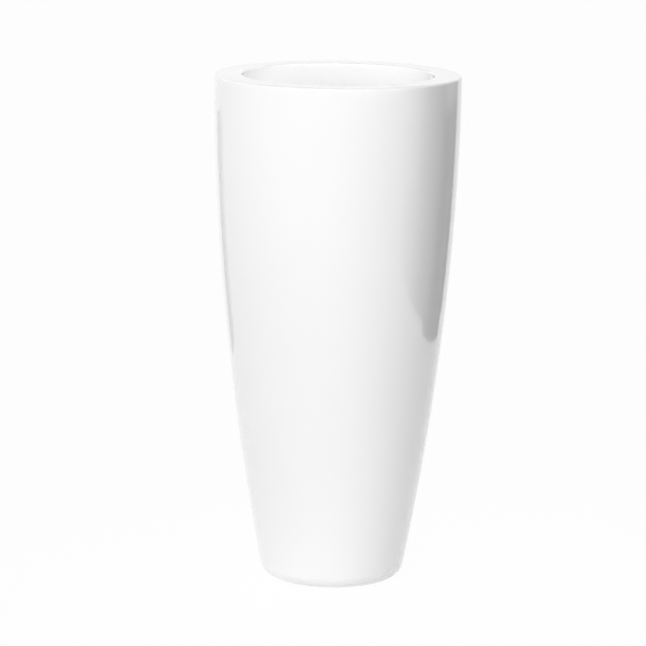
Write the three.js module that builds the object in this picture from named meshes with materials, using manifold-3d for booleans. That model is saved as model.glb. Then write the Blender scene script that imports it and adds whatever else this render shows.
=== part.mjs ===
// A tall round fiberglass planter: a tapered lacquered shell closed by a wide flat rim,
// a lift-out shelf that stands on four ledges a third of the way up, a rubber drain plug
// in the recessed floor, and four rubber pads under the foot.
// Millimetres, +Z up, origin on the floor under the middle of the planter.

import * as THREE from "three";
import { mergeVertices } from "three/addons/utils/BufferGeometryUtils.js";
import Module from "manifold-3d";

// ---------------------------------------------------------------- driving sizes

const overallHeight = 800; // floor to top of rim
const rimRadius = 192.5; // outside of the rim, the widest place
const footRadius = 109.5; // where the wall's curve would meet the floor
const wallCurve = 1.9; // power of the wall's curve: 1 is a cone, 2 a parabola
const footRounding = 26; // outside corner under the wall
const wallThickness = 6;

const floorThickness = 7;
const recessDepth = 7; // the middle of the underside stands this far above the foot
const recessRadius = 58;
const recessDraft = 4; // how far the recess widens towards the foot
const drainRadius = 12.5;

const rimWidth = 43; // flat top, from the outside to the opening
const rimThickness = 6;
const rimEdgeRadius = 4; // round-over of the outer edge
const lipRadius = 3; // round-over of the opening's edge
const collarDepth = 60; // how far the opening's collar hangs below the rim
const collarThickness = 5;
const spigotDepth = 25; // bonding flange inside the top of the shell
const spigotThickness = 5;
const cutEdge = 1; // broken edge of trimmed laminate

const shelfHeight = 262; // underside of the shelf, above the floor
const shelfThickness = 8;
const shelfEdge = 1; // bevel of its edges
const shelfClearance = 6; // at the opening, all round, so that it lifts out
const shelfWallClearance = 3; // least gap to the wall where it stands
const fingerRadius = 17; // the two lifting holes
const fingerOffset = 82;
const drainSlots = 8; // small drain holes in a ring
const drainSlotRadius = 5;
const drainSlotRing = 112;
const innerDrainSlots = 4;
const innerDrainSlotRing = 42;

const ledgeCount = 4;
const ledgeWidth = 60;
const ledgeHeight = 34;
const ledgeNose = 7; // height of the ledge's blunt inner edge
const ledgeBearing = 18; // how far the shelf's edge reaches over a ledge

const padCount = 4;
const padHeight = 3;
const padRadius = 10;
const padRounding = 1.2;

const plugStemTop = 4; // stem above the floor
const plugStemTaper = 1.2; // how much the stem narrows to its end
const plugHeadRadius = 19;
const plugHeadThickness = 3;
const plugKnobRadius = 6;
const plugKnobNeck = 3.5;
const plugKnobDrop = 4.5; // the knob hangs this far below the head
const plugEdge = 0.8;

const bondGap = 0.3; // glue line between bonded pieces
const seatGap = 0.3; // under the shelf, and between the plug's head and the floor
const plugClearance = 0.35; // radial, round the stem

// ---------------------------------------------------------------- fineness

const roundSteps = 72; // facets of a full turn
const smallSteps = 32; // facets of a full turn of the pads and the plug
const holeSteps = 12; // facets of half a turn of the shelf's holes
const wallSteps = 16; // up the outside of the wall
const innerWallSteps = 11;
const cornerSteps = 7; // round the outside of the foot
const innerCornerSteps = 5;
const edgeSteps = 6; // round the rim's edges and the pads'
const ledgeSteps = 3; // up the back of a ledge
const cornerRepeats = 12; // until the foot's arc meets the wall's slope
const mergeDistance = 1e-3;

// ---------------------------------------------------------------- levels and wall

const footLevel = padHeight;
const recessLevel = footLevel + recessDepth;
const floorLevel = recessLevel + floorThickness;
const seamLevel = overallHeight - rimThickness;
const openingRadius = rimRadius - rimWidth;

// The outside of the wall falls in from the rim by a power of the depth below it.
const taper = rimRadius - footRadius;
const curveHeight = overallHeight - footLevel;

function wallOuter(z) {
  return rimRadius - taper * ((overallHeight - z) / curveHeight) ** wallCurve;
}

function wallSlope(z) {
  const depth = (overallHeight - z) / curveHeight;
  return (taper * wallCurve * depth ** (wallCurve - 1)) / curveHeight;
}

// The inside keeps the wall's thickness, measured square to the wall.
function wallInner(z) {
  return wallOuter(z) - wallThickness * Math.hypot(1, wallSlope(z));
}

// ---------------------------------------------------------------- shared shapes

const point = (r, z) => new THREE.Vector2(r, z);

// Points of an arc in the (radius, height) plane, angles in radians from +radius towards +height.
function arc(r, z, radius, from, to, steps) {
  const points = [];
  for (let i = 0; i <= steps; i++) {
    const a = from + ((to - from) * i) / steps;
    points.push(point(r + radius * Math.cos(a), z + radius * Math.sin(a)));
  }
  return points;
}

// Points up a wall, evenly spaced in height, both ends included.
function alongWall(radiusAt, from, to, steps) {
  const points = [];
  for (let i = 0; i <= steps; i++) {
    const z = from + ((to - from) * i) / steps;
    points.push(point(radiusAt(z), z));
  }
  return points;
}

// The rounded corner between a level floor and the leaning wall: an arc tangent to both.
// Its top end is where the wall's own slope takes over, found by repetition.
function footCorner(radiusAt, level, rounding) {
  let lean = 0;
  let top = level;
  for (let i = 0; i < cornerRepeats; i++) {
    top = level + rounding * (1 - Math.sin(lean));
    lean = Math.atan(wallSlope(top));
  }
  const centre = radiusAt(top) - rounding * Math.cos(lean);
  return { top, centre, middle: level + rounding, rounding, lean };
}

// A profile in (radius, height), turned round the Z axis. It runs anticlockwise.
function turned(profile, steps, closed) {
  const loop = closed ? [...profile, profile[0]] : profile;
  return new THREE.LatheGeometry(loop, steps).rotateX(Math.PI / 2);
}

const wasm = await Module();
wasm.setup();

function toSolid(geometry) {
  const bare = geometry.clone();
  bare.deleteAttribute("normal");
  bare.deleteAttribute("uv");
  const merged = mergeVertices(bare, mergeDistance);
  return new wasm.Manifold(
    new wasm.Mesh({
      numProp: 3,
      vertProperties: new Float32Array(merged.attributes.position.array),
      triVerts: new Uint32Array(merged.index.array),
    }),
  );
}

function toGeometry(solid) {
  const mesh = solid.getMesh();
  const geometry = new THREE.BufferGeometry();
  geometry.setAttribute("position", new THREE.BufferAttribute(mesh.vertProperties, 3));
  geometry.setIndex(new THREE.BufferAttribute(mesh.triVerts, 1));
  geometry.computeVertexNormals();
  return geometry;
}

// ---------------------------------------------------------------- finishes

const glossWhite = new THREE.MeshStandardMaterial({ color: 0xf4f4f3, roughness: 0.12, metalness: 0 });
const rawLaminate = new THREE.MeshStandardMaterial({ color: 0xdfe0da, roughness: 0.55, metalness: 0 });
const blackRubber = new THREE.MeshStandardMaterial({ color: 0x1b1b1c, roughness: 0.75, metalness: 0 });

// ---------------------------------------------------------------- body shell

const outerCorner = footCorner(wallOuter, footLevel, footRounding);
const innerCorner = footCorner(wallInner, floorLevel, footRounding - wallThickness);

// Wall and floor are one laminate, open at the top, with the drain hole through its floor.
function bodyShell() {
  const outer = outerCorner;
  const inner = innerCorner;
  const down = -Math.PI / 2;
  return turned(
    [
      point(drainRadius, recessLevel),
      point(recessRadius - recessDraft, recessLevel),
      point(recessRadius, footLevel + cutEdge),
      point(recessRadius + cutEdge, footLevel),
      ...arc(outer.centre, outer.middle, outer.rounding, down, -outer.lean, cornerSteps),
      ...alongWall(wallOuter, outer.top, seamLevel, wallSteps).slice(1),
      ...alongWall(wallInner, seamLevel, inner.top, innerWallSteps),
      ...arc(inner.centre, inner.middle, inner.rounding, -inner.lean, down, innerCornerSteps).slice(1),
      point(drainRadius, floorLevel),
    ],
    roundSteps,
    true,
  );
}

// ---------------------------------------------------------------- top rim

// A flat ring on the shell's cut edge, with a bonding spigot inside the shell and a collar
// that lines the opening.
function topRim() {
  const spigotBottom = seamLevel - spigotDepth;
  const spigotOuter = (z) => wallInner(z) - bondGap;
  const collarBottom = overallHeight - collarDepth;
  const collarOuter = openingRadius + collarThickness;
  const edge = { r: rimRadius - rimEdgeRadius, z: overallHeight - rimEdgeRadius };
  const lip = { r: openingRadius + lipRadius, z: overallHeight - lipRadius };
  const up = Math.PI / 2;
  return turned(
    [
      point(wallOuter(seamLevel), seamLevel),
      ...arc(edge.r, edge.z, rimEdgeRadius, 0, up, edgeSteps),
      ...arc(lip.r, lip.z, lipRadius, up, Math.PI, edgeSteps),
      point(openingRadius, collarBottom + cutEdge),
      point(openingRadius + cutEdge, collarBottom),
      point(collarOuter - cutEdge, collarBottom),
      point(collarOuter, collarBottom + cutEdge),
      point(collarOuter, seamLevel),
      point(spigotOuter(seamLevel) - spigotThickness, seamLevel),
      point(spigotOuter(spigotBottom) - spigotThickness, spigotBottom),
      point(spigotOuter(spigotBottom), spigotBottom),
      point(spigotOuter(seamLevel), seamLevel),
    ],
    roundSteps,
    true,
  );
}

// ---------------------------------------------------------------- shelf and its ledges

// It passes the opening and stands clear of the wall where it rests.
const shelfRadius = Math.min(
  openingRadius - shelfClearance,
  wallInner(shelfHeight) - shelfWallClearance,
);

// A point at a share of a full turn round the axis.
function onRing(radius, share) {
  const a = 2 * Math.PI * share;
  return new THREE.Vector2(radius * Math.cos(a), radius * Math.sin(a));
}

function roundHole(centre, radius) {
  const hole = new THREE.Path();
  hole.absarc(centre.x, centre.y, radius + shelfEdge, 0, 2 * Math.PI, true);
  return hole;
}

// Evenly spaced holes, the first half a step round from the finger holes' line.
function ringOfHoles(count, ring, radius) {
  const holes = [];
  for (let i = 0; i < count; i++) {
    holes.push(roundHole(onRing(ring, (i + 0.5) / count), radius));
  }
  return holes;
}

function shelf() {
  const outline = [];
  for (let i = 0; i < roundSteps; i++) {
    outline.push(onRing(shelfRadius - shelfEdge, i / roundSteps));
  }
  const disc = new THREE.Shape(outline);
  disc.holes.push(
    roundHole(point(fingerOffset, 0), fingerRadius),
    roundHole(point(-fingerOffset, 0), fingerRadius),
    ...ringOfHoles(drainSlots, drainSlotRing, drainSlotRadius),
    ...ringOfHoles(innerDrainSlots, innerDrainSlotRing, drainSlotRadius),
  );
  const plate = new THREE.ExtrudeGeometry(disc, {
    depth: shelfThickness - 2 * shelfEdge,
    bevelThickness: shelfEdge,
    bevelSize: shelfEdge,
    bevelSegments: 1,
    curveSegments: holeSteps,
  });
  return plate.translate(0, 0, shelfHeight + shelfEdge);
}

// A gusset with a level top and a straight nose, cut by the inside of the wall so that
// its back follows the wall behind the glue.
function ledge(turn) {
  const top = shelfHeight - seatGap;
  const bottom = top - ledgeHeight;
  const nose = shelfRadius - ledgeBearing;
  const back = (z) => wallInner(z) - bondGap;
  const inside = turned(
    [point(0, bottom), ...alongWall(back, bottom, top, ledgeSteps), point(0, top)],
    roundSteps,
    false,
  );
  const side = new THREE.Shape([
    point(nose, top),
    point(nose, top - ledgeNose),
    point(back(bottom) - cutEdge, bottom),
    point(rimRadius, bottom),
    point(rimRadius, top),
  ]);
  const gusset = new THREE.ExtrudeGeometry(side, { depth: ledgeWidth, bevelEnabled: false });
  gusset.translate(0, 0, -ledgeWidth / 2).rotateX(Math.PI / 2).rotateZ(turn);
  return toGeometry(toSolid(inside).intersect(toSolid(gusset)));
}

// ---------------------------------------------------------------- drain plug and pads

// A rubber stopper pushed in from below: tapered stem, head in the recess, knob to pull it by.
function drainPlug() {
  const headTop = recessLevel - seatGap;
  const headBottom = headTop - plugHeadThickness;
  const stemRadius = drainRadius - plugClearance;
  const stemEnd = floorLevel + plugStemTop;
  const knobBottom = headBottom - plugKnobDrop;
  const knobMiddle = headBottom - plugKnobDrop / 2;
  return turned(
    [
      point(0, knobBottom),
      point(plugKnobRadius - plugEdge, knobBottom),
      point(plugKnobRadius, knobBottom + plugEdge),
      point(plugKnobRadius, knobMiddle),
      point(plugKnobNeck, knobMiddle + plugEdge),
      point(plugKnobNeck, headBottom),
      point(plugHeadRadius - plugEdge, headBottom),
      point(plugHeadRadius, headBottom + plugEdge),
      point(plugHeadRadius, headTop - plugEdge),
      point(plugHeadRadius - plugEdge, headTop),
      point(stemRadius, headTop),
      point(stemRadius - plugStemTaper, stemEnd - plugEdge),
      point(stemRadius - plugStemTaper - plugEdge, stemEnd),
      point(0, stemEnd),
    ],
    smallSteps,
    false,
  );
}

// The pads are glued in the middle of the foot's flat ring.
const padRing = (recessRadius + cutEdge + outerCorner.centre) / 2;

function footPad() {
  return turned(
    [
      point(0, 0),
      ...arc(padRadius - padRounding, padRounding, padRounding, -Math.PI / 2, 0, edgeSteps),
      point(padRadius, padHeight),
      point(0, padHeight),
    ],
    smallSteps,
    false,
  );
}

// ---------------------------------------------------------------- assembly

const planter = new THREE.Group();

function place(name, geometry, material) {
  const mesh = new THREE.Mesh(geometry, material);
  mesh.name = name;
  planter.add(mesh);
  return mesh;
}

place("body_shell", bodyShell(), glossWhite);
place("top_rim", topRim(), glossWhite);
place("inner_shelf", shelf(), rawLaminate);
place("drain_plug", drainPlug(), blackRubber);

for (let i = 0; i < ledgeCount; i++) {
  place(`shelf_ledge_${i + 1}`, ledge((2 * Math.PI * i) / ledgeCount), rawLaminate);
}

for (let i = 0; i < padCount; i++) {
  const pad = place(`foot_pad_${i + 1}`, footPad(), blackRubber);
  const centre = onRing(padRing, (i + 0.5) / padCount);
  pad.position.set(centre.x, centre.y, 0);
}

export default planter;
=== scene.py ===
"""The finished look of a tall round fiberglass planter, built around its solid model.

Every length is in metres. The planter stands on the floor at the origin with +Z up, and the
side that faces -Y is its front. Each piece is a surface worked out on a grid of two parameters
and welded into one closed mesh, which stands for the plain solid of the same name.
"""

import math

import bpy
import numpy as np
from bpy.props import FloatProperty, FloatVectorProperty, IntProperty, PointerProperty
from bpy.types import Operator, Panel, PropertyGroup
from mathutils import Euler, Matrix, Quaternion, Vector


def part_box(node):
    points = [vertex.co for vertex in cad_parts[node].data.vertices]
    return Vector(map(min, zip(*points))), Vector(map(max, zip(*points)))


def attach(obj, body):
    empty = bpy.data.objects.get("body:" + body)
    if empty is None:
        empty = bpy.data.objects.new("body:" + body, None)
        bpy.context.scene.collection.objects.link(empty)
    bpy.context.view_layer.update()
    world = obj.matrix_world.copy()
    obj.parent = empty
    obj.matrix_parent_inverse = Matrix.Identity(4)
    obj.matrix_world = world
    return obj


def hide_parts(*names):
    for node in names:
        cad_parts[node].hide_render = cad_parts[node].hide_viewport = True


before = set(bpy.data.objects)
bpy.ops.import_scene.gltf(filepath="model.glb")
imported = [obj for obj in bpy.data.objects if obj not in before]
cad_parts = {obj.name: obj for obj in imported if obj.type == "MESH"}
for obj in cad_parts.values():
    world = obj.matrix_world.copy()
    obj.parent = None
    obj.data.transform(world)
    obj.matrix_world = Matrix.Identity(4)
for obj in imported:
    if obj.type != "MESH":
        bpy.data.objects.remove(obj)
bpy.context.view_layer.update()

bl_info = {
    "name": "Tall Fiberglass Planter",
    "version": (1, 0, 0),
    "blender": (4, 5, 0),
    "location": "3D View > Sidebar > Planter",
    "description": "A lacquered planter with a flat rim, an inner shelf, a drain plug and pads",
    "category": "Add Mesh",
}

SHELL_LOW, SHELL_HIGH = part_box("body_shell")
RIM_LOW, RIM_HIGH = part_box("top_rim")
SHELF_LOW, SHELF_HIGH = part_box("inner_shelf")
LEDGE_LOW, LEDGE_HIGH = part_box("shelf_ledge_1")
PLUG_LOW, PLUG_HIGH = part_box("drain_plug")

FULL_TURN = 2 * math.pi
QUARTER = math.pi / 2
WELD = 1e-7
LACQUER, LAMINATE = 0, 1
BROKEN_EDGE = 0.001


# ---------------------------------------------------------------- sizes and colours


def length(name, description, default):
    """A length property in metres."""
    return FloatProperty(
        name=name, description=description, default=default, min=0.0, subtype="DISTANCE", unit="LENGTH"
    )


def colour(name, description, default):
    """A linear colour property."""
    return FloatVectorProperty(
        name=name, description=description, default=default, min=0.0, max=1.0, subtype="COLOR", size=3
    )


class PLANTER_PG_shell(PropertyGroup):
    """Sizes of the tapered shell."""

    height: length("Height", "Top of the rim above the floor", RIM_HIGH.z)
    rim_radius: length("Rim Radius", "Outside of the rim, the widest place", RIM_HIGH.x)
    seam: length("Seam", "Height at which the rim sits on the wall", SHELL_HIGH.z)
    foot_level: length("Foot Level", "Underside of the foot above the floor", SHELL_LOW.z)
    foot_radius: length("Foot Radius", "Where the wall's curve would meet the foot level", 0.1095)
    wall_curve: FloatProperty(
        name="Wall Curve", description="Power of the wall's curve, 1 for a cone", default=1.9, min=1.0
    )
    foot_rounding: length("Foot Rounding", "Radius of the outside corner under the wall", 0.026)
    wall: length("Wall", "Thickness of the laminate wall", 0.006)
    floor: length("Floor", "Thickness of the laminate floor", 0.007)
    recess_depth: length("Recess Depth", "Height of the recess in the underside", 0.007)
    recess_radius: length("Recess Radius", "Radius of the recess at the foot", 0.058)
    recess_draft: length("Recess Draft", "How far the recess widens towards the foot", 0.004)
    drain_radius: length("Drain Radius", "Radius of the drain hole", 0.0125)
    lay_up: length("Lay-up Lumps", "Height of the lumps on the raw inside", 0.0004)
    overlap: length("Mat Overlap", "Step where two strips of glass mat overlap", 0.0008)
    swell: length("Mould Swell", "Slow unevenness of the lacquered outside", 0.00022)


class PLANTER_PG_rim(PropertyGroup):
    """Sizes of the flat rim and its collar."""

    width: length("Rim Width", "Flat top from the outside to the opening", 0.043)
    edge: length("Edge Radius", "Round-over of the outer edge", 0.004)
    lip: length("Lip Radius", "Round-over of the opening's edge", 0.003)
    collar: length("Collar", "Thickness of the collar that lines the opening", 0.005)
    spigot_depth: length("Spigot Depth", "Bonding flange inside the top of the wall", 0.025)
    spigot: length("Spigot", "Thickness of the bonding flange", 0.005)
    bond: length("Bond", "Glue line between the flange and the wall", 0.0003)


class PLANTER_PG_fittings(PropertyGroup):
    """Sizes of the shelf, ledges, plug and pads."""

    finger_radius: length("Finger Hole", "Radius of the two lifting holes", 0.017)
    finger_offset: length("Finger Hole Offset", "From the axis to a lifting hole", 0.082)
    drain_radius: length("Drain Hole", "Radius of the shelf's small holes", 0.005)
    outer_ring: length("Outer Ring", "Radius of the outer ring of small holes", 0.112)
    inner_ring: length("Inner Ring", "Radius of the inner ring of small holes", 0.042)
    ledge_nose: length("Ledge Nose", "Height of a ledge's blunt inner edge", 0.007)
    ledge_bead: length("Ledge Bead", "Width of the resin bead round a ledge", 0.007)
    plug_head: length("Plug Head", "Thickness of the drain plug's head", 0.003)
    plug_stem: length("Plug Stem", "Radius of the plug's stem under the floor", 0.01215)
    plug_taper: length("Plug Taper", "How much the stem narrows to its end", 0.0012)
    knob_radius: length("Knob Radius", "Radius of the knob that the plug is pulled by", 0.006)
    knob_neck: length("Knob Neck", "Radius of the neck above the knob", 0.0035)
    knob_drop: length("Knob Drop", "How far the knob hangs below the head", 0.0045)
    flutes: IntProperty(name="Knob Flutes", description="Grip flutes round the knob", default=8, min=0)
    pad_rounding: length("Pad Rounding", "Rounded edge of a foot pad", 0.0012)
    pad_groove: length("Pad Groove", "Depth of the grooves in a foot pad", 0.0004)


class PLANTER_PG_finish(PropertyGroup):
    """Colours of the finishes."""

    lacquer: colour("Lacquer", "Gloss white lacquer", (0.905, 0.904, 0.906))
    resin: colour("Resin", "Cured resin of the raw laminate", (0.76, 0.76, 0.73))
    strand: colour("Strand", "Glass strands in the raw laminate", (0.86, 0.86, 0.84))
    rubber: colour("Rubber", "Black rubber of the plug and pads", (0.021, 0.021, 0.022))


class PLANTER_PG_studio(PropertyGroup):
    """Camera, lights and floor."""

    camera_distance: length("Camera Distance", "From the planter's axis, level", 5.6)
    camera_height: length("Camera Height", "Above the floor", 1.452)
    camera_lens: FloatProperty(name="Lens", description="Focal length in millimetres", default=202.2)
    camera_pitch: FloatProperty(
        name="Pitch", description="Downward tilt", default=math.radians(10.57), subtype="ANGLE"
    )
    camera_yaw: FloatProperty(
        name="Yaw", description="Turn to the left", default=math.radians(0.1925), subtype="ANGLE"
    )
    camera_roll: FloatProperty(
        name="Roll", description="Tilt of the horizon", default=math.radians(0.75), subtype="ANGLE"
    )
    floor_colour: colour("Floor", "Pale matte floor", (0.55, 0.55, 0.55))
    flag_colour: colour("Flag", "Dark card that stands on the right", (0.01, 0.01, 0.01))


# ---------------------------------------------------------------- grids and meshes


def arc(centre, radius, start, end, steps):
    """Points of an arc in the (radius, height) plane: centre + radius * (cos a, sin a)."""
    a = np.linspace(start, end, steps + 1)
    return np.column_stack([centre[0] + radius * np.cos(a), centre[1] + radius * np.sin(a)])


def straight(start, end, spacing):
    """Evenly spaced points from start to end, both included."""
    start, end = np.array(start, float), np.array(end, float)
    steps = max(1, math.ceil(np.linalg.norm(end - start) / spacing))
    return start + np.linspace(0, 1, steps + 1)[:, None] * (end - start)


def turn(runs, steps, lift=None, move=None):
    """Carries a profile round the Z axis, one patch for each of its runs.

    A run is (points of (radius, height), finish) and starts where the last one ended. Point
    (i, j) is at x = r cos a, y = r sin a, z = h, with a = full turn * j / steps. lift(a, s) moves
    it along the profile's outward normal, where s is the length along the profile, and move
    changes the whole grid. Runs that are more level than upright are mapped flat by x and y, and
    the others by the length round the axis and along the profile."""
    profile = np.vstack([runs[0][0]] + [points[1:] for points, _ in runs[1:]])
    a = np.linspace(0, FULL_TURN, steps + 1)
    around = np.append(a[:-1], 0.0)
    along = np.concatenate([[0.0], np.cumsum(np.linalg.norm(np.diff(profile, axis=0), axis=1))])
    r = np.repeat(profile[:, :1], steps + 1, axis=1)
    z = np.repeat(profile[:, 1:], steps + 1, axis=1)
    if lift is not None:
        tangent = np.gradient(profile, axis=0)
        tangent /= np.maximum(np.linalg.norm(tangent, axis=1), WELD)[:, None]
        d = lift(around[None, :], along[:, None])
        r = r + d * tangent[:, 1:]
        z = z - d * tangent[:, :1]
    grid = np.stack([r * np.cos(around), r * np.sin(around), z], axis=-1)
    if move is not None:
        grid = move(grid)
    patches, first = [], 0
    for points, finish in runs:
        rows = slice(first, first + len(points))
        first += len(points) - 1
        reach, rise = np.abs(points[-1] - points[0])
        if reach > rise:
            uv = grid[rows, :, :2]
        else:
            uv = np.stack(np.broadcast_arrays(a[None, :] * points[0, 0], along[rows, None]), axis=-1)
        patches.append((grid[rows], uv, finish))
    return patches


def weld(name, patches, finishes, sharp=math.radians(38)):
    """Welds patches into one closed mesh object.

    A patch is (points, uv, finish): a grid of points of shape (rows, columns, 3), its flat map of
    shape (rows, columns, 2), and the finish of each row of quads. Corners closer than the weld
    distance become one vertex, and a quad with two equal corners becomes a triangle."""
    points, maps, quads, finish_of = [], [], [], []
    start = 0
    for grid, uv, finish in patches:
        rows, columns = grid.shape[:2]
        r, c = np.meshgrid(np.arange(rows - 1), np.arange(columns - 1), indexing="ij")
        corner = start + r.ravel()[:, None] * columns + c.ravel()[:, None]
        quads.append(corner + np.array([0, 1, columns + 1, columns]))
        finish_of.append(np.repeat(np.broadcast_to(finish, rows - 1), columns - 1))
        points.append(grid.reshape(-1, 3))
        maps.append(uv.reshape(-1, 2))
        start += rows * columns
    points, maps = np.vstack(points), np.vstack(maps)
    quads, finish_of = np.vstack(quads), np.concatenate(finish_of)
    _, first, merged = np.unique(
        np.round(points / WELD).astype(np.int64), axis=0, return_index=True, return_inverse=True
    )
    corners = merged.reshape(-1)[quads]
    keep = corners != np.roll(corners, -1, axis=1)
    whole, three = keep.all(axis=1), keep.sum(axis=1) == 3
    triangles = corners[three][keep[three]].reshape(-1, 3)
    mesh = bpy.data.meshes.new(name)
    mesh.from_pydata(points[first].tolist(), [], corners[whole].tolist() + triangles.tolist())
    loops = np.concatenate([quads[whole].ravel(), quads[three][keep[three]]])
    mesh.uv_layers.new(name="surface").data.foreach_set("uv", maps[loops].ravel())
    order = np.concatenate([finish_of[whole], finish_of[three]]).astype(np.int32)
    mesh.polygons.foreach_set("material_index", order)
    for finish in finishes:
        mesh.materials.append(finish)
    mesh.shade_smooth()
    mesh.set_sharp_from_angle(angle=sharp)
    mesh.update()
    piece = bpy.data.objects.new(name, mesh)
    bpy.context.scene.collection.objects.link(piece)
    return piece


def dress(piece, body, slot, *nodes):
    """The piece rides on a body and stands for these solids, which are hidden. The slot is not used."""
    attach(piece, body)
    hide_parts(*nodes)


def waves(seed, count, turns, along):
    """A smooth field over the angle and the length along a surface, from -1 to 1.

    It is a mean of cosine waves with whole numbers of waves per turn, up to turns, and up to
    along radians per metre the other way, so that it closes on itself."""
    draw = np.random.default_rng(seed)
    round_axis = draw.integers(-turns, turns + 1, count)
    up_axis = draw.uniform(-along, along, count)
    phase = draw.uniform(0, FULL_TURN, count)

    def field(a, s):
        total = sum(np.cos(n * a + k * s + p) for n, k, p in zip(round_axis, up_axis, phase))
        return total / math.sqrt(count) / 2

    return field


def smooth_step(x):
    """0 below 0, 1 above 1, and 3x^2 - 2x^3 between."""
    x = np.clip(x, 0, 1)
    return x * x * (3 - 2 * x)


# ---------------------------------------------------------------- the wall's curve


class Wall:
    """The tapered wall: the outside falls in from the rim by a power of the depth below it,
    and the inside keeps the wall's thickness, measured square to the wall."""

    def __init__(self, shell):
        self.shell = shell
        self.taper = shell.rim_radius - shell.foot_radius
        self.depth = shell.height - shell.foot_level

    def share(self, z):
        return (self.shell.height - z) / self.depth

    def outer(self, z):
        return self.shell.rim_radius - self.taper * self.share(z) ** self.shell.wall_curve

    def slope(self, z):
        power = self.shell.wall_curve
        return self.taper * power * self.share(z) ** (power - 1) / self.depth

    def inner(self, z):
        return self.outer(z) - self.shell.wall * np.hypot(1, self.slope(z))

    def corner(self, radius_at, level, rounding):
        """The arc that meets both a floor at this level and the leaning wall: the height of its
        top end, the radius of its centre and the wall's lean there, found by repetition."""
        lean, top = 0.0, level
        for _ in range(12):
            top = level + rounding * (1 - math.sin(lean))
            lean = math.atan(self.slope(top))
        return top, radius_at(top) - rounding * math.cos(lean), lean

    def run(self, radius_at, low, high, spacing):
        """Points up the wall between two heights."""
        z = np.linspace(low, high, math.ceil(abs(high - low) / spacing) + 1)
        return np.column_stack([radius_at(z), z])


# ---------------------------------------------------------------- finishes


class Nodes:
    """An empty node tree, with short ways to add and join nodes."""

    def __init__(self, owner):
        owner.use_nodes = True
        self.tree = owner.node_tree
        self.tree.nodes.clear()
        self.place = self.node("ShaderNodeTexCoord")

    def node(self, kind, settings=(), **inputs):
        made = self.tree.nodes.new(kind)
        for key, value in dict(settings).items():
            setattr(made, key, value)
        for key, value in inputs.items():
            made.inputs[key.replace("_", " ")].default_value = value
        return made

    def link(self, source, output, target, target_input):
        self.tree.links.new(source.outputs[output], target.inputs[target_input])

    def noise(self, scale, detail=2.0, **inputs):
        """A noise texture with this many cells a metre."""
        made = self.node("ShaderNodeTexNoise", Scale=scale, Detail=detail, **inputs)
        self.link(self.place, "Object", made, "Vector")
        return made

    def ramp(self, source, output, stops):
        """A colour ramp from stops of (position, colour or grey)."""
        made = self.node("ShaderNodeValToRGB")
        elements = made.color_ramp.elements
        while len(elements) < len(stops):
            elements.new(0.5)
        for element, (position, value) in zip(elements, stops):
            element.position = position
            grey = isinstance(value, (int, float))
            element.color = (value, value, value, 1) if grey else (*value, 1)
        self.link(source, output, made, "Fac")
        return made

    def math(self, operation, first, second=None):
        """A math node on two values, each a number or a (node, output) pair."""
        made = self.node("ShaderNodeMath", {"operation": operation})
        for index, value in enumerate((first, second)):
            if isinstance(value, tuple):
                self.link(*value, made, index)
            elif value is not None:
                made.inputs[index].default_value = value
        return made

    def mix(self, factor, first, second):
        """A colour between two colours, each a colour or a (node, output) pair."""
        made = self.node("ShaderNodeMix", {"data_type": "RGBA"})
        self.link(*factor, made, "Factor")
        for index, value in ((6, first), (7, second)):
            if isinstance(value[0], bpy.types.Node):
                self.link(*value, made, index)
            else:
                made.inputs[index].default_value = (*value, 1)
        return made

    def seen(self):
        """1 for rays from the camera and through mirrors or glass, otherwise 0."""
        path = self.node("ShaderNodeLightPath")
        seen = self.math("MAXIMUM", (path, "Is Camera Ray"), (path, "Is Glossy Ray"))
        return self.math("MAXIMUM", (seen, "Value"), (path, "Is Transmission Ray"))

    def distance(self, centre):
        """Distance from a point in the object's own coordinates."""
        made = self.node("ShaderNodeVectorMath", {"operation": "DISTANCE"})
        self.link(self.place, "Object", made, 0)
        made.inputs[1].default_value = centre
        return made

    def bump(self, height, distance, strength=1.0, below=None):
        """A bump of this height in metres, over an earlier bump if there is one."""
        made = self.node("ShaderNodeBump", Strength=strength, Distance=distance)
        self.link(*height, made, "Height")
        if below is not None:
            self.link(below, "Normal", made, "Normal")
        return made


class Finish(Nodes):
    """A new material with one Principled shader."""

    def __init__(self, name):
        self.material = bpy.data.materials.new(name)
        super().__init__(self.material)
        self.shader = self.node("ShaderNodeBsdfPrincipled")
        self.output = self.node("ShaderNodeOutputMaterial")
        self.link(self.shader, "BSDF", self.output, "Surface")


def shade(rgb, factor):
    """A colour made lighter or darker by a factor."""
    return tuple(min(1.0, channel * factor) for channel in rgb)


def gloss_lacquer(finish):
    """Sprayed and polished white lacquer: faint orange peel, a slow swell where the laminate
    shows through, and a few fine rubs that dull the gloss."""
    made = Finish("gloss_white_lacquer")
    white = tuple(finish.lacquer)
    cloud = made.noise(3.0, 3.0)
    tone = made.ramp(cloud, "Fac", [(0.35, shade(white, 0.992)), (0.65, shade(white, 1.006))])
    made.link(tone, "Color", made.shader, "Base Color")
    haze = made.noise(9.0, 6.0, Roughness=0.6)
    rubs = made.noise(60.0, 8.0, Distortion=1.2)
    haze_band = made.ramp(haze, "Fac", [(0.4, 0.07), (0.62, 0.11)])
    rub_band = made.ramp(rubs, "Fac", [(0.62, 0.0), (0.7, 0.05)])
    gloss = made.math("ADD", (haze_band, "Color"), (rub_band, "Color"))
    made.link(gloss, "Value", made.shader, "Roughness")
    swell = made.bump((made.noise(22.0, 1.0), "Fac"), 0.00006)
    peel = made.bump((made.noise(240.0, 1.5), "Fac"), 0.000008, below=swell)
    made.link(peel, "Normal", made.shader, "Normal")
    made.link(peel, "Normal", made.shader, "Coat Normal")
    made.shader.inputs["IOR"].default_value = 1.5
    made.shader.inputs["Coat Weight"].default_value = 1.0
    made.shader.inputs["Coat Roughness"].default_value = 0.03
    return made.material


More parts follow.
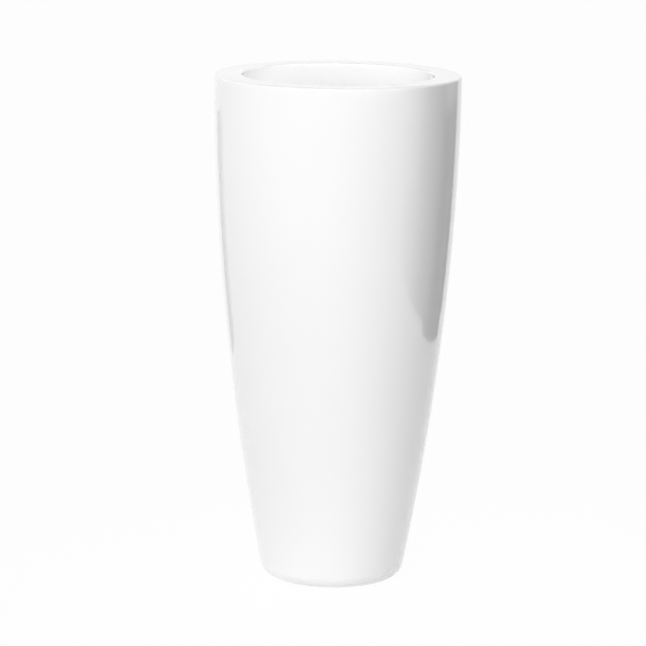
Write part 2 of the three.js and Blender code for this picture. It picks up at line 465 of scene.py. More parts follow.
def raw_laminate(finish):
    """Unpainted glass laminate: chopped strands about 50 mm long lie every way in cured resin,
    some dry and raised, with pools of smoother resin and a few bubbles."""
    made = Finish("raw_glass_laminate")
    strands = None
    for index in range(9):
        lay = made.node("ShaderNodeMapping", {"vector_type": "TEXTURE"})
        made.link(made.place, "UV", lay, "Vector")
        lay.inputs["Location"].default_value = (0.013 * index, 0.029 * index, 0)
        lay.inputs["Rotation"].default_value = (0, 0, math.radians(20 * index + 7 * (index % 3)))
        lay.inputs["Scale"].default_value = (0.05, 0.0016, 1)
        cells = made.node("ShaderNodeTexVoronoi", {"voronoi_dimensions": "2D"}, Scale=1.0)
        made.link(lay, "Vector", cells, "Vector")
        split = made.node("ShaderNodeSeparateColor")
        made.link(cells, "Color", split, "Color")
        chosen = made.ramp(split, "Red", [(0.72, 0.0), (0.8, 0.5), (1.0, 1.0)])
        if strands is None:
            strands = (chosen, "Color")
        else:
            strands = (made.math("MAXIMUM", strands, (chosen, "Color")), "Value")
    wet = made.noise(16.0, 4.0)
    pools = made.ramp(wet, "Fac", [(0.42, 0.0), (0.62, 1.0)])
    dry = made.math("SUBTRACT", 1.0, (pools, "Color"))
    shown = made.math("MULTIPLY", strands, (dry, "Value"))
    faint = made.math("MULTIPLY_ADD", strands, 0.35)
    made.link(shown, "Value", faint, 2)
    cast = made.noise(4.0, 2.0)
    resin = tuple(finish.resin)
    warm = (resin[0] * 1.04, resin[1] * 1.0, resin[2] * 0.9)
    body = made.ramp(cast, "Fac", [(0.3, shade(resin, 0.93)), (0.55, resin), (0.75, warm)])
    strand_share = made.math("MINIMUM", (faint, "Value"), 1.0)
    tone = made.mix((strand_share, "Value"), (body, "Color"), tuple(finish.strand))
    bubbles = made.node("ShaderNodeTexVoronoi", Scale=140.0)
    made.link(made.place, "Object", bubbles, "Vector")
    specks = made.ramp(bubbles, "Distance", [(0.06, 1.0), (0.12, 0.0)])
    speckled = made.mix((specks, "Color"), (tone, 2), shade(resin, 0.72))
    made.link(speckled, 2, made.shader, "Base Color")
    gloss = made.ramp(wet, "Fac", [(0.4, 0.62), (0.64, 0.3)])
    made.link(gloss, "Color", made.shader, "Roughness")
    lumps = made.bump((wet, "Fac"), 0.0012)
    weave = made.bump((shown, "Value"), 0.00035, below=lumps)
    grain = made.bump((made.noise(900.0, 3.0), "Fac"), 0.00012, below=weave)
    made.link(grain, "Normal", made.shader, "Normal")
    return made.material


def black_rubber(finish):
    """Moulded rubber: a fine matte grain, a grey bloom in patches and rubbed, smoother spots."""
    made = Finish("moulded_black_rubber")
    rubber = tuple(finish.rubber)
    bloom = made.noise(70.0, 5.0, Roughness=0.65)
    tone = made.ramp(
        bloom, "Fac", [(0.35, rubber), (0.6, shade(rubber, 1.5)), (0.8, shade(rubber, 2.3))]
    )
    made.link(tone, "Color", made.shader, "Base Color")
    rub = made.ramp(made.noise(160.0, 3.0), "Fac", [(0.35, 0.5), (0.65, 0.72)])
    made.link(rub, "Color", made.shader, "Roughness")
    grain = made.bump((made.noise(2400.0, 3.0), "Fac"), 0.00006)
    made.link(grain, "Normal", made.shader, "Normal")
    return made.material


FINISHES = {"lacquer": gloss_lacquer, "laminate": raw_laminate, "rubber": black_rubber}


def finish_named(context, name):
    """The finish with this name, made on first use."""
    kept = context.scene.get("planter_" + name)
    if kept and kept in bpy.data.materials:
        return bpy.data.materials[kept]
    made = FINISHES[name](context.scene.planter_finish)
    context.scene["planter_" + name] = made.name
    return made


def moulded(context):
    """The two finishes of a moulded piece, in the order of LACQUER and LAMINATE."""
    return [finish_named(context, "lacquer"), finish_named(context, "laminate")]


# ---------------------------------------------------------------- shell and rim

TURNS = 256
OUTSIDE_SPACING = 0.009
INSIDE_SPACING = 0.0048


def build_shell(context):
    """Wall and floor in one closed surface: underside, outside, top edge, inside, floor, drain."""
    shell = context.scene.planter_shell
    wall = Wall(shell)
    recess = shell.foot_level + shell.recess_depth
    floor = recess + shell.floor
    outer_top, outer_centre, outer_lean = wall.corner(
        wall.outer, shell.foot_level, shell.foot_rounding
    )
    rounding = shell.foot_rounding - shell.wall
    inner_top, inner_centre, inner_lean = wall.corner(wall.inner, floor, rounding)
    outer_middle = (outer_centre, shell.foot_level + shell.foot_rounding)
    inner_middle = (inner_centre, floor + rounding)
    drain_low, drain_high = (shell.drain_radius, recess), (shell.drain_radius, floor)
    recess_corner = (shell.recess_radius - shell.recess_draft, recess)
    recess_mouth = (shell.recess_radius, shell.foot_level + BROKEN_EDGE)
    foot = (shell.recess_radius + BROKEN_EDGE, shell.foot_level)
    top_outside, top_inside = (wall.outer(shell.seam), shell.seam), (wall.inner(shell.seam), shell.seam)
    runs = [
        (straight(drain_low, recess_corner, 0.004), LAMINATE),
        (straight(recess_corner, recess_mouth, 0.002), LAMINATE),
        (straight(recess_mouth, foot, BROKEN_EDGE), LAMINATE),
        (straight(foot, (outer_centre, shell.foot_level), 0.004), LAMINATE),
        (arc(outer_middle, shell.foot_rounding, -QUARTER, -outer_lean, 22), LACQUER),
        (wall.run(wall.outer, outer_top, shell.seam, OUTSIDE_SPACING), LACQUER),
        (straight(top_outside, top_inside, 0.003), LAMINATE),
        (wall.run(wall.inner, shell.seam, inner_top, INSIDE_SPACING), LAMINATE),
        (arc(inner_middle, rounding, -inner_lean, -QUARTER, 12), LAMINATE),
        (straight((inner_centre, floor), drain_high, 0.004), LAMINATE),
        (straight(drain_high, drain_low, 0.002), LAMINATE),
    ]
    ends = np.cumsum([np.linalg.norm(np.diff(points, axis=0), axis=1).sum() for points, _ in runs])
    lumps = waves(7, 60, 46, 260.0)
    ragged = waves(11, 24, 14, 90.0)
    swell = waves(19, 30, 6, 28.0)

    def lift(a, s):
        """Lumps of the lay-up on the inside and strips of mat that overlap there, and outside the
        slow swell of the mould, which dies out towards the rim and the foot."""
        inside = smooth_step((s - ends[6] - 0.02) / 0.02) * smooth_step((ends[9] - 0.006 - s) / 0.02)
        strips = 0.0
        for centre in (0.9, 3.1, 5.3):
            gap = np.abs((a - centre + math.pi) % FULL_TURN - math.pi) * 0.16
            strips = strips + smooth_step((0.03 - gap + 0.004 * ragged(a, s)) / 0.004)
        low_edge = ends[7] - 0.11 + 0.005 * ragged(a, s)
        strips = strips + smooth_step((s - low_edge) / 0.004)
        outside = smooth_step((s - ends[4]) / 0.05) * smooth_step((ends[5] - s) / 0.05)
        raw = shell.lay_up * lumps(a, s) + shell.overlap * np.clip(strips, 0, 1)
        return inside * raw + outside * shell.swell * swell(a, s)

    piece = weld("tapered_shell", turn(runs, TURNS, lift), moulded(context))
    dress(piece, "planter", "white_lacquer", "body_shell")
    return piece


def build_rim(context):
    """The flat ring with its round edges, the collar inside the opening and the hidden flange."""
    shell, rim = context.scene.planter_shell, context.scene.planter_rim
    wall = Wall(shell)
    top, seam, low = shell.height, shell.seam, RIM_LOW.z
    opening = shell.rim_radius - rim.width
    collar = opening + rim.collar
    flange_low = seam - rim.spigot_depth
    flange_high_radius = wall.inner(seam) - rim.bond
    flange_low_radius = wall.inner(flange_low) - rim.bond
    start = (wall.outer(seam), seam)
    edge_middle = (shell.rim_radius - rim.edge, top - rim.edge)
    lip_middle = (opening + rim.lip, top - rim.lip)
    collar_end = (opening, low + BROKEN_EDGE)
    collar_inside, collar_outside = (opening + BROKEN_EDGE, low), (collar - BROKEN_EDGE, low)
    collar_back, collar_top = (collar, low + BROKEN_EDGE), (collar, seam)
    flange_inside_high = (flange_high_radius - rim.spigot, seam)
    flange_inside_low = (flange_low_radius - rim.spigot, flange_low)
    flange_outside_low = (flange_low_radius, flange_low)
    flange_outside_high = (flange_high_radius, seam)
    runs = [
        (straight(start, (shell.rim_radius, top - rim.edge), 0.001), LACQUER),
        (arc(edge_middle, rim.edge, 0, QUARTER, 14), LACQUER),
        (straight((edge_middle[0], top), (lip_middle[0], top), 0.004), LACQUER),
        (arc(lip_middle, rim.lip, QUARTER, math.pi, 12), LACQUER),
        (straight((opening, top - rim.lip), collar_end, 0.005), LACQUER),
        (straight(collar_end, collar_inside, BROKEN_EDGE), LACQUER),
        (straight(collar_inside, collar_outside, 0.002), LAMINATE),
        (straight(collar_outside, collar_back, BROKEN_EDGE), LAMINATE),
        (straight(collar_back, collar_top, 0.005), LAMINATE),
        (straight(collar_top, flange_inside_high, 0.005), LAMINATE),
        (straight(flange_inside_high, flange_inside_low, 0.005), LAMINATE),
        (straight(flange_inside_low, flange_outside_low, 0.002), LAMINATE),
        (straight(flange_outside_low, flange_outside_high, 0.005), LAMINATE),
        (straight(flange_outside_high, start, 0.004), LAMINATE),
    ]
    piece = weld("flat_rim", turn(runs, TURNS), moulded(context))
    dress(piece, "planter", "white_lacquer", "top_rim")
    return piece


# ---------------------------------------------------------------- shelf

SECTOR_STEPS = 32
SIDE_STEPS = 14
SPOKE_STEPS = 8


def polar(r, a):
    """Plan points at these radii and angles."""
    return np.stack(np.broadcast_arrays(r * np.cos(a), r * np.sin(a)), axis=-1)


def sector_edge(low, high, start, end, steps):
    """The outline of a ring sector, anticlockwise: outer arc, one side, inner arc, other side."""
    across = np.linspace(start, end, steps + 1)
    up = np.linspace(low, high, SIDE_STEPS + 1)
    return np.vstack([
        polar(high, across)[:-1], polar(up[::-1], end)[:-1],
        polar(low, across[::-1])[:-1], polar(up, start),
    ])


def holed_sector(low, high, start, end, steps, centre, radius):
    """A ring sector with a round hole: each point of the outline is joined by a straight run to
    the point of the hole's edge that lies towards it. The first row is the hole's edge."""
    outline = sector_edge(low, high, start, end, steps)
    towards = outline - centre
    edge = centre + radius * towards / np.linalg.norm(towards, axis=1)[:, None]
    t = np.linspace(0, 1, SPOKE_STEPS + 1)[:, None, None]
    return edge + t * (outline - edge)


def plain_sector(low, high, start, end, steps):
    """A ring sector on an even grid of radius and angle."""
    r = np.linspace(low, high, SIDE_STEPS + 1)[:, None]
    return polar(r, np.linspace(start, end, steps + 1)[None, :])


def build_shelf(context):
    """A round plate with two finger holes and two rings of small holes.

    Its plan is tiled with ring sectors, and each hole sits inside one. The top and underside
    are the same plan at two heights, and the walls join them with rounded edges."""
    fittings = context.scene.planter_fittings
    low, high = SHELF_LOW.z, SHELF_HIGH.z
    radius, edge = SHELF_HIGH.x, BROKEN_EDGE
    finger, small = fittings.finger_radius, fittings.drain_radius
    bands = [0.0, 0.02, 0.061, 0.1005, radius - edge]
    eighth = FULL_TURN / 8
    plans, holes = [], []

    def add_hole(a, ring, size, band, half, steps):
        """Tiles one sector of a band, half a sector to each side of a, round a hole."""
        centre = polar(ring, a)
        plan = holed_sector(
            bands[band], bands[band + 1], a - half, a + half, steps, centre, size + edge
        )
        plans.append(plan)
        holes.append((plan[0] - centre, centre, size))

    plans.append(plain_sector(bands[0], bands[1], 0, FULL_TURN, 8 * SECTOR_STEPS))
    for k in range(4):
        add_hole((2 * k + 1) * eighth, fittings.inner_ring, small, 1, eighth, 2 * SECTOR_STEPS)
    for k in range(8):
        if k % 4:
            start, end = (k - 0.5) * eighth, (k + 0.5) * eighth
            plans.append(plain_sector(bands[2], bands[3], start, end, SECTOR_STEPS))
        else:
            add_hole(k * eighth, fittings.finger_offset, finger, 2, eighth / 2, SECTOR_STEPS)
        add_hole((k + 0.5) * eighth, fittings.outer_ring, small, 3, eighth / 2, SECTOR_STEPS)

    top_field = waves(3, 30, 0, 60.0)
    under_field = waves(5, 60, 0, 300.0)

    def settle(points):
        """Bends the plate by a hair and leaves lay-up lumps on its underside."""
        x, y, z = points[..., 0], points[..., 1], points[..., 2]
        share = (z - low) / (high - low)
        bend = 0.00015 * top_field(3 * y, x)
        lump = 0.0003 * under_field(140 * y, x)
        return np.stack([x, y, z + share * bend + (1 - share) * lump], axis=-1)

    def raised(plan, z):
        """The plan's points at one height, or at one height for each row."""
        return np.concatenate([plan, np.broadcast_to(z, (*plan.shape[:2], 1))], axis=-1)

    round_edge = arc((0.0, 0.0), edge, 0, QUARTER, 3)
    down = np.vstack([
        np.column_stack([edge - round_edge[::-1, 0], high - edge + round_edge[::-1, 1]]),
        np.column_stack([edge - round_edge[:, 0], low + edge - round_edge[:, 1]]),
    ])
    patches = []
    for plan in plans:
        patches.append((settle(raised(plan, high)), plan, LAMINATE))
        patches.append((settle(raised(plan, low)[:, ::-1]), plan[:, ::-1], LAMINATE))
    for spokes, centre, size in holes:
        unit = spokes / np.linalg.norm(spokes, axis=1)[:, None]
        ring = centre + unit[None, :, :] * (size + down[:, :1, None])
        grid = raised(ring, down[:, 1:, None])[::-1]
        round_hole = np.linspace(0, FULL_TURN * size, len(unit))
        uv = np.stack(np.broadcast_arrays(round_hole, grid[..., 2]), axis=-1)
        patches.append((settle(grid), uv, LAMINATE))
    a = np.linspace(0, FULL_TURN, 8 * SECTOR_STEPS + 1)
    rim = polar((radius - down[:, :1]), a[None, :])
    grid = raised(rim, down[:, 1:, None])[::-1]
    uv = np.stack(np.broadcast_arrays(a * radius, grid[..., 2]), axis=-1)
    patches.append((settle(grid), uv, LAMINATE))
    piece = weld("lift_out_shelf", patches, moulded(context))
    dress(piece, "shelf", "raw_laminate", "inner_shelf")
    return piece


# ---------------------------------------------------------------- ledges


def box_patches(size, radius, spacing):
    """Six grids that cover a rounded box from (0, 0, 0) to size.

    A point of the plain box is pulled back to the nearest point of the box inset by the radius,
    then pushed out again by the radius, which rounds every edge."""
    size = np.array(size, float)

    def marks(extent):
        margin = np.linspace(0, radius, 4)
        middle = straight((radius,), (extent - radius,), spacing)[1:-1, 0]
        return np.concatenate([margin, middle, extent - margin[::-1]])

    patches = []
    for axis in range(3):
        across, up = (axis + 1) % 3, (axis + 2) % 3
        u, v = np.meshgrid(marks(size[across]), marks(size[up]), indexing="ij")
        for side in (0, 1):
            plain = np.zeros((*u.shape, 3))
            plain[..., across], plain[..., up], plain[..., axis] = u, v, side * size[axis]
            core = np.clip(plain, radius, size - radius)
            out = plain - core
            grid = core + radius * out / np.linalg.norm(out, axis=-1, keepdims=True)
            patches.append(grid[::-1] if side else grid)
    return patches


def build_ledge(context, number):
    """A gusset with a level top, a blunt nose and a sloping underside, bonded to the wall with
    a bead of resin that spreads as it nears the wall."""
    shell, fittings = context.scene.planter_shell, context.scene.planter_fittings
    wall = Wall(shell)
    top, bottom = LEDGE_HIGH.z, LEDGE_LOW.z
    nose = LEDGE_LOW.x
    half = LEDGE_HIGH.y
    sunk, rounding, spacing = 0.0015, 0.0014, 0.0018
    length_in = wall.inner(top) - nose + sunk
    patches = []
    for grid in box_patches((length_in, 2 * half, top - bottom), rounding, spacing):
        share = grid[..., 0] / length_in
        high = grid[..., 2] / (top - bottom)
        y = grid[..., 1] - half
        depth = fittings.ledge_nose + (top - bottom - fittings.ledge_nose) * share
        z = top - depth * (1 - high)
        reach = np.sqrt(wall.inner(z) ** 2 - y**2) + sunk - nose
        gap = (1 - share) * reach - sunk
        bead = fittings.ledge_bead * np.clip(1 - gap / fittings.ledge_bead, 0, 1) ** 2
        y = y * (1 + bead / half)
        z = z - bead * (1 - high)
        reach = np.sqrt(wall.inner(z) ** 2 - y**2) + sunk - nose
        x = nose + share * reach
        a = FULL_TURN * (number - 1) / 4
        c, s = math.cos(a), math.sin(a)
        points = np.stack([x * c - y * s, x * s + y * c, z], axis=-1)
        patches.append((points, np.stack([x + z, y + 0.11 * number], axis=-1), 0))
    piece = weld(f"ledge_{number}", patches, [finish_named(context, "laminate")])
    dress(piece, "planter", "raw_laminate", f"shelf_ledge_{number}")
    return piece


# ---------------------------------------------------------------- plug and pads


def build_plug(context):
    """A stopper pushed in from below: a tapered stem with two sealing ribs, a head with a bead
    round its face, and a fluted knob."""
    fittings = context.scene.planter_fittings
    low, high = PLUG_LOW.z, PLUG_HIGH.z
    head_radius = PLUG_HIGH.x
    knob, neck = fittings.knob_radius, fittings.knob_neck
    neck_low = low + fittings.knob_drop
    head_top = neck_low + fittings.plug_head
    soft = 0.0006
    stem_end = fittings.plug_stem - fittings.plug_taper
    knob_middle = low + fittings.knob_drop / 2
    stem = straight((fittings.plug_stem, head_top), (stem_end, high - soft), 0.0002)
    share = (stem[:, 1] - head_top) / (high - head_top)
    ribs = np.exp(-(((share - 0.3) / 0.035) ** 2)) + np.exp(-(((share - 0.62) / 0.035) ** 2))
    rib_height, bead = 0.0003, 0.0008
    bead_middle = head_radius - 0.0028
    stem[:, 0] += rib_height * ribs
    runs = [
        (straight((0, low), (knob - soft, low), 0.001), 0),
        (arc((knob - soft, low + soft), soft, -QUARTER, 0, 5), 0),
        (straight((knob, low + soft), (knob, knob_middle), 0.0005), 0),
        (arc((neck, knob_middle), knob - neck, 0, QUARTER, 6)[:5], 0),
        (straight((neck, knob_middle + 0.0022), (neck, neck_low), 0.0005), 0),
        (straight((neck, neck_low), (head_radius - 0.004, neck_low), 0.001), 0),
        (arc((bead_middle, neck_low), bead, math.pi, 0, 8) * (1, 0.3) + (0, 0.7 * neck_low), 0),
        (arc((head_radius - soft, neck_low + soft), soft, -QUARTER, 0, 5), 0),
        (arc((head_radius - soft, head_top - soft), soft, 0, QUARTER, 5), 0),
        (straight((head_radius - soft, head_top), (fittings.plug_stem, head_top), 0.001), 0),
        (stem, 0),
        (arc((stem_end - soft, high - soft), soft, 0, QUARTER, 5), 0),
        (straight((stem_end - soft, high), (0, high), 0.001), 0),
    ]

    def flute(grid):
        """Presses grip flutes into the knob: the radius falls by up to 6 % as a cosine of a."""
        x, y, z = grid[..., 0], grid[..., 1], grid[..., 2]
        below_neck = smooth_step((neck_low - 0.0008 - z) / 0.001)
        on_knob = below_neck * smooth_step((np.hypot(x, y) - 0.0045) / 0.001)
        share = 1 - 0.06 * on_knob * (1 + np.cos(fittings.flutes * np.arctan2(y, x))) / 2
        return np.stack([x * share, y * share, z], axis=-1)

    piece = weld("drain_stopper", turn(runs, 96, move=flute), [finish_named(context, "rubber")])
    dress(piece, "plug", "black_rubber", "drain_plug")
    return piece


def build_pad(context, number):
    """A round rubber pad with two ring grooves in its underside."""
    fittings = context.scene.planter_fittings
    low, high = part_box(f"foot_pad_{number}")
    centre = (low + high) / 2
    radius = (high.x - low.x) / 2
    rounding = fittings.pad_rounding
    flat = straight((0, 0), (radius - rounding, 0), 0.00025)
    for ring in (0.0035, 0.0062):
        flat[:, 1] += fittings.pad_groove * np.exp(-(((flat[:, 0] - ring) / 0.0005) ** 4))
    runs = [
        (flat, 0),
        (arc((radius - rounding, rounding), rounding, -QUARTER, 0, 6), 0),
        (straight((radius, rounding), (radius, high.z), 0.0008), 0),
        (straight((radius, high.z), (0, high.z), 0.002), 0),
    ]
    patches = turn(runs, 64, move=lambda grid: grid + np.array([centre.x, centre.y, 0.0]))
    piece = weld(f"rubber_pad_{number}", patches, [finish_named(context, "rubber")])
    dress(piece, "planter", "black_rubber", f"foot_pad_{number}")
    return piece


# ---------------------------------------------------------------- studio

# How much of the floor's tone is plain white where it is seen; the rest shows the shadow.
SEEN_WHITE = 0.975

# Level of the world's light by azimuth in degrees, with 0 in front and 90 on the right.
LEVELS = {
    -180: 1.6, -150: 1.6, -120: 1.6, -90: 1.15, -60: 0.6, -30: 0.84, 0: 1.0, 30: 1.1,
    50: 1.4, 70: 1.2, 90: 0.36, 125: 0.19, 150: 1.0, 180: 1.6,
}

# Name, azimuth, elevation, distance, width and height, watts, target, and spread in degrees.
LAMPS = (
    ("key_soft_box", -20, 27, 3.4, (2.2, 2.2), 57.0, (0, 0, 0.4), 180),
    ("mouth_lamp_right", 62, 20, 0.6, (0.2, 0.05), 0.0375, (-0.115, 0.035, 0.76), 18),
    ("mouth_lamp_left", -30, 20, 0.6, (0.3, 0.05), 0.0305, (0.05, 0.1, 0.76), 18),
)


def flat_card(name, corners):
    """A four-cornered matte card, marked as stage. The caller colours its shader."""
    mesh = bpy.data.meshes.new(name)
    mesh.from_pydata(corners, [], [(0, 1, 2, 3)])
    card = bpy.data.objects.new(name, mesh)
    bpy.context.scene.collection.objects.link(card)
    made = Finish(name)
    made.shader.inputs["Roughness"].default_value = 0.9
    made.shader.inputs["Specular IOR Level"].default_value = 0.0
    mesh.materials.append(made.material)
    return card, made


def build_floor(studio):
    """A pale matte floor with painted light and shade in its colour: lighter round the planter's foot,
    a painted pool of light that makes up for the planter's shadow in the light bounced back onto the
    foot, and dark to its right, painted shade that takes bounce light off the planter's right side.
    What the camera and mirrors see of it is mostly plain white, with enough of its own shading left to
    keep the planter's shadow, and it can be looked through from below."""
    half = 20.0
    corners = [(-half, -half, 0), (half, -half, 0), (half, half, 0), (-half, half, 0)]
    floor, made = flat_card("studio_floor", corners)
    share = made.math("MULTIPLY", (made.seen(), "Value"), SEEN_WHITE)
    # Painted light: the floor is lighter round the planter's foot, so the light it bounces onto the
    # foot is not cut down by the planter's shadow.
    bright = shade(studio.floor_colour, 1.65)
    bounce_light_pool = made.ramp(
        made.distance((0.3, -0.05, 0.0)), "Value", [(0.4, bright), (0.9, studio.floor_colour)]
    )
    # Painted shade: the floor is dark to the right of the planter, so less light bounces onto the
    # planter's right side.
    far = made.math("DIVIDE", (made.distance((2.15, 0.35, 0.0)), "Value"), 2.0)
    bounce_shade_patch = made.ramp(far, "Value", [(0.7, 0.06), (0.86, 1.0)])
    tone = made.math("MULTIPLY", (bounce_light_pool, "Color"), (bounce_shade_patch, "Color"))
    made.link(tone, "Value", made.shader, "Base Color")
    glow = made.node("ShaderNodeEmission", Strength=1.0)
    blend = made.node("ShaderNodeMixShader")
    made.link(share, "Value", blend, "Fac")
    made.link(made.shader, "BSDF", blend, 1)
    made.link(glow, "Emission", blend, 2)
    side = made.node("ShaderNodeNewGeometry")
    path = made.node("ShaderNodeLightPath")
    clear = made.node("ShaderNodeBsdfTransparent")
    under = made.math("MULTIPLY", (side, "Backfacing"), (path, "Is Camera Ray"))
    cut = made.node("ShaderNodeMixShader")
    made.link(under, "Value", cut, "Fac")
    made.link(blend, "Shader", cut, 1)
    made.link(clear, "BSDF", cut, 2)
    made.link(cut, "Shader", made.output, "Surface")
    return floor


def build_world():
    """White where it is seen, and a soft studio for the light that falls on the planter: bright
    from behind and from the left, softer in front, and dark on the right. It fades upwards."""
    world = bpy.data.worlds.new("studio_world")
    bpy.context.scene.world = world
    made = Nodes(world)
    split = made.node("ShaderNodeSeparateXYZ")
    made.link(made.place, "Generated", split, "Vector")
    front = made.math("MULTIPLY", (split, "Y"), -1.0)
    azimuth = made.math("ARCTAN2", (split, "X"), (front, "Value"))
    turned = made.math("DIVIDE", (azimuth, "Value"), FULL_TURN)
    share = made.math("ADD", (turned, "Value"), 0.5)
    brightest = max(LEVELS.values())
    stops = [((degrees + 180) / 360, level / brightest) for degrees, level in LEVELS.items()]
    around = made.ramp(share, "Value", stops)
    height = made.ramp(split, "Z", [(0.45, 1.0), (0.85, 0.08)])
    light = made.math("MULTIPLY", (around, "Color"), (height, "Color"))
    least = made.math("MAXIMUM", (light, "Value"), 0.07)
    fill = made.node("ShaderNodeBackground", Strength=brightest)
    made.link(least, "Value", fill, "Color")
    white = made.node("ShaderNodeBackground", Strength=1.0, Color=(1, 1, 1, 1))
    blend = made.node("ShaderNodeMixShader")
    made.link(made.seen(), "Value", blend, "Fac")
    made.link(fill, "Background", blend, 1)
    made.link(white, "Background", blend, 2)
    output = made.node("ShaderNodeOutputWorld")
    made.link(blend, "Shader", output, "Surface")


def build_lamp(name, azimuth, elevation, distance, size, power, target, spread):
    """A soft box of this width and height that faces the target. Azimuth 0 is the front."""
    lamp = bpy.data.lights.new(name, "AREA")
    lamp.shape = "RECTANGLE"
    lamp.size, lamp.size_y = size
    lamp.energy = power
    lamp.spread = math.radians(spread)
    holder = bpy.data.objects.new(name, lamp)
    bpy.context.scene.collection.objects.link(holder)
    a, e = math.radians(azimuth), math.radians(elevation)
    out = Vector((math.sin(a) * math.cos(e), -math.cos(a) * math.cos(e), math.sin(e)))
    holder.location = Vector(target) + out * distance
    holder.rotation_mode = "QUATERNION"
    holder.rotation_quaternion = out.to_track_quat("Z", "Y")
    holder.visible_camera = False
    return holder


def build_camera(studio):
    """The photographed view: in front, a little above the rim, through a long lens."""
    data = bpy.data.cameras.new("photo_camera")
    data.lens = studio.camera_lens
    data.clip_end = 60.0
    camera = bpy.data.objects.new("photo_camera", data)
    bpy.context.scene.collection.objects.link(camera)
    camera.location = (0.0, -studio.camera_distance, studio.camera_height)
    camera.rotation_mode = "QUATERNION"
    aim = Euler((QUARTER - studio.camera_pitch, 0.0, studio.camera_yaw)).to_quaternion()
    camera.rotation_quaternion = aim @ Quaternion((0, 0, 1), studio.camera_roll)
    bpy.context.scene.camera = camera
    return camera


def side_card(name, near, far, high, stops):
    """An upright card on the floor from near to far, each (metres from the axis, azimuth in
    degrees). It is seen only in the planter's gloss and by the light that it holds back.

    Its colour follows the stops, whose positions run from 0 at y = -1 m to 1 at y = 1 m."""
    feet = []
    for away, azimuth in (near, far):
        a = math.radians(azimuth)
        feet.append((away * math.sin(a), -away * math.cos(a)))
    corners = [(*feet[0], 0), (*feet[1], 0), (*feet[1], high), (*feet[0], high)]
    card, made = flat_card(name, corners)
    card.visible_camera = False
    card.visible_shadow = False
    split = made.node("ShaderNodeSeparateXYZ")
    made.link(made.place, "Object", split, "Vector")
    half = made.math("MULTIPLY_ADD", (split, "Y"), 0.5)
    half.inputs[2].default_value = 0.5
    made.link(made.ramp(half, "Value", stops), "Color", made.shader, "Base Color")


def build_cards(studio):
    """A black card on the right, a taller graded one behind it, and a pale one on the left. The
    dark ones fade from front to back, so that their reflections have no hard side."""
    dark = tuple(studio.flag_colour)
    side_card("pale_card", (1.5, -132), (1.5, -146), 0.55, [(0.0, 0.95), (1.0, 0.95)])
    side_card(
        "black_card", (1.4, 100.5), (1.6, 137), 0.575,
        [(0.64, dark), (0.78, 0.02), (0.88, 0.25), (0.95, 0.5)],
    )
    side_card(
        "graded_card", (1.9, 64), (1.9, 141), 1.5,
        [(0.1, 0.95), (0.27, 0.8), (0.38, 0.35), (0.48, 0.04), (0.6, 0.02), (0.75, 0.2), (0.9, 0.8)],
    )


# ---------------------------------------------------------------- operators


class PLANTER_OT_shell(Operator):
    """Build the tapered shell"""

    bl_idname = "planter.shell"
    bl_label = "Tapered Shell"

    def execute(self, context):
        build_shell(context)
        return {"FINISHED"}


class PLANTER_OT_rim(Operator):
    """Build the flat rim and its collar"""

    bl_idname = "planter.rim"
    bl_label = "Flat Rim"

    def execute(self, context):
        build_rim(context)
        return {"FINISHED"}


class PLANTER_OT_shelf(Operator):
    """Build the lift-out shelf"""

    bl_idname = "planter.shelf"
    bl_label = "Lift-out Shelf"

    def execute(self, context):
        build_shelf(context)
        return {"FINISHED"}


class PLANTER_OT_ledges(Operator):
    """Build the four ledges that carry the shelf"""

    bl_idname = "planter.ledges"
    bl_label = "Shelf Ledges"

    def execute(self, context):
        for number in range(1, 5):
            build_ledge(context, number)
        return {"FINISHED"}


class PLANTER_OT_plug(Operator):
    """Build the rubber drain plug"""

    bl_idname = "planter.plug"
    bl_label = "Drain Plug"

    def execute(self, context):
        build_plug(context)
        return {"FINISHED"}


class PLANTER_OT_pads(Operator):
    """Build the four rubber foot pads"""

    bl_idname = "planter.pads"
    bl_label = "Foot Pads"

    def execute(self, context):
        for number in range(1, 5):
            build_pad(context, number)
        return {"FINISHED"}


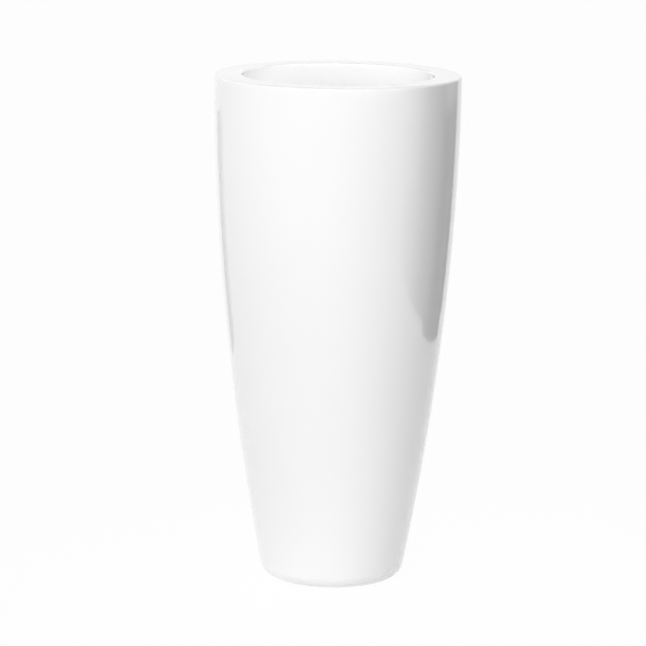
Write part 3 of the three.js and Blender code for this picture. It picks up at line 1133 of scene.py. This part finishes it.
class PLANTER_OT_studio(Operator):
    """Set up the floor, the lights and the camera"""

    bl_idname = "planter.studio"
    bl_label = "Studio"

    def execute(self, context):
        studio = context.scene.planter_studio
        build_floor(studio)
        build_cards(studio)
        build_world()
        for lamp in LAMPS:
            build_lamp(*lamp)
        build_camera(studio)
        context.scene.view_settings.view_transform = "Standard"
        return {"FINISHED"}


OPERATORS = (
    PLANTER_OT_studio,
    PLANTER_OT_shell,
    PLANTER_OT_rim,
    PLANTER_OT_shelf,
    PLANTER_OT_ledges,
    PLANTER_OT_plug,
    PLANTER_OT_pads,
)
GROUPS = {
    "planter_shell": PLANTER_PG_shell,
    "planter_rim": PLANTER_PG_rim,
    "planter_fittings": PLANTER_PG_fittings,
    "planter_finish": PLANTER_PG_finish,
    "planter_studio": PLANTER_PG_studio,
}


class PLANTER_PT_panel(Panel):
    """Lists the planter's builders and sizes"""

    bl_label = "Tall Planter"
    bl_idname = "PLANTER_PT_panel"
    bl_space_type = "VIEW_3D"
    bl_region_type = "UI"
    bl_category = "Planter"

    def draw(self, context):
        for operator in OPERATORS:
            self.layout.operator(operator.bl_idname)
        for name, group in GROUPS.items():
            box = self.layout.box()
            box.label(text=group.__doc__)
            for key in group.__annotations__:
                box.prop(getattr(context.scene, name), key)


def register():
    for group in GROUPS.values():
        bpy.utils.register_class(group)
    for operator in OPERATORS:
        bpy.utils.register_class(operator)
    bpy.utils.register_class(PLANTER_PT_panel)
    for name, group in GROUPS.items():
        setattr(bpy.types.Scene, name, PointerProperty(type=group))


def unregister():
    for name in GROUPS:
        delattr(bpy.types.Scene, name)
    bpy.utils.unregister_class(PLANTER_PT_panel)
    for operator in reversed(OPERATORS):
        bpy.utils.unregister_class(operator)
    for group in reversed(GROUPS.values()):
        bpy.utils.unregister_class(group)


def main():
    """Registers the add-on, then builds the studio and every piece."""
    register()
    bpy.ops.planter.studio()
    bpy.ops.planter.shell()
    bpy.ops.planter.rim()
    bpy.ops.planter.shelf()
    bpy.ops.planter.ledges()
    bpy.ops.planter.plug()
    bpy.ops.planter.pads()


if __name__ == "__main__":
    main()
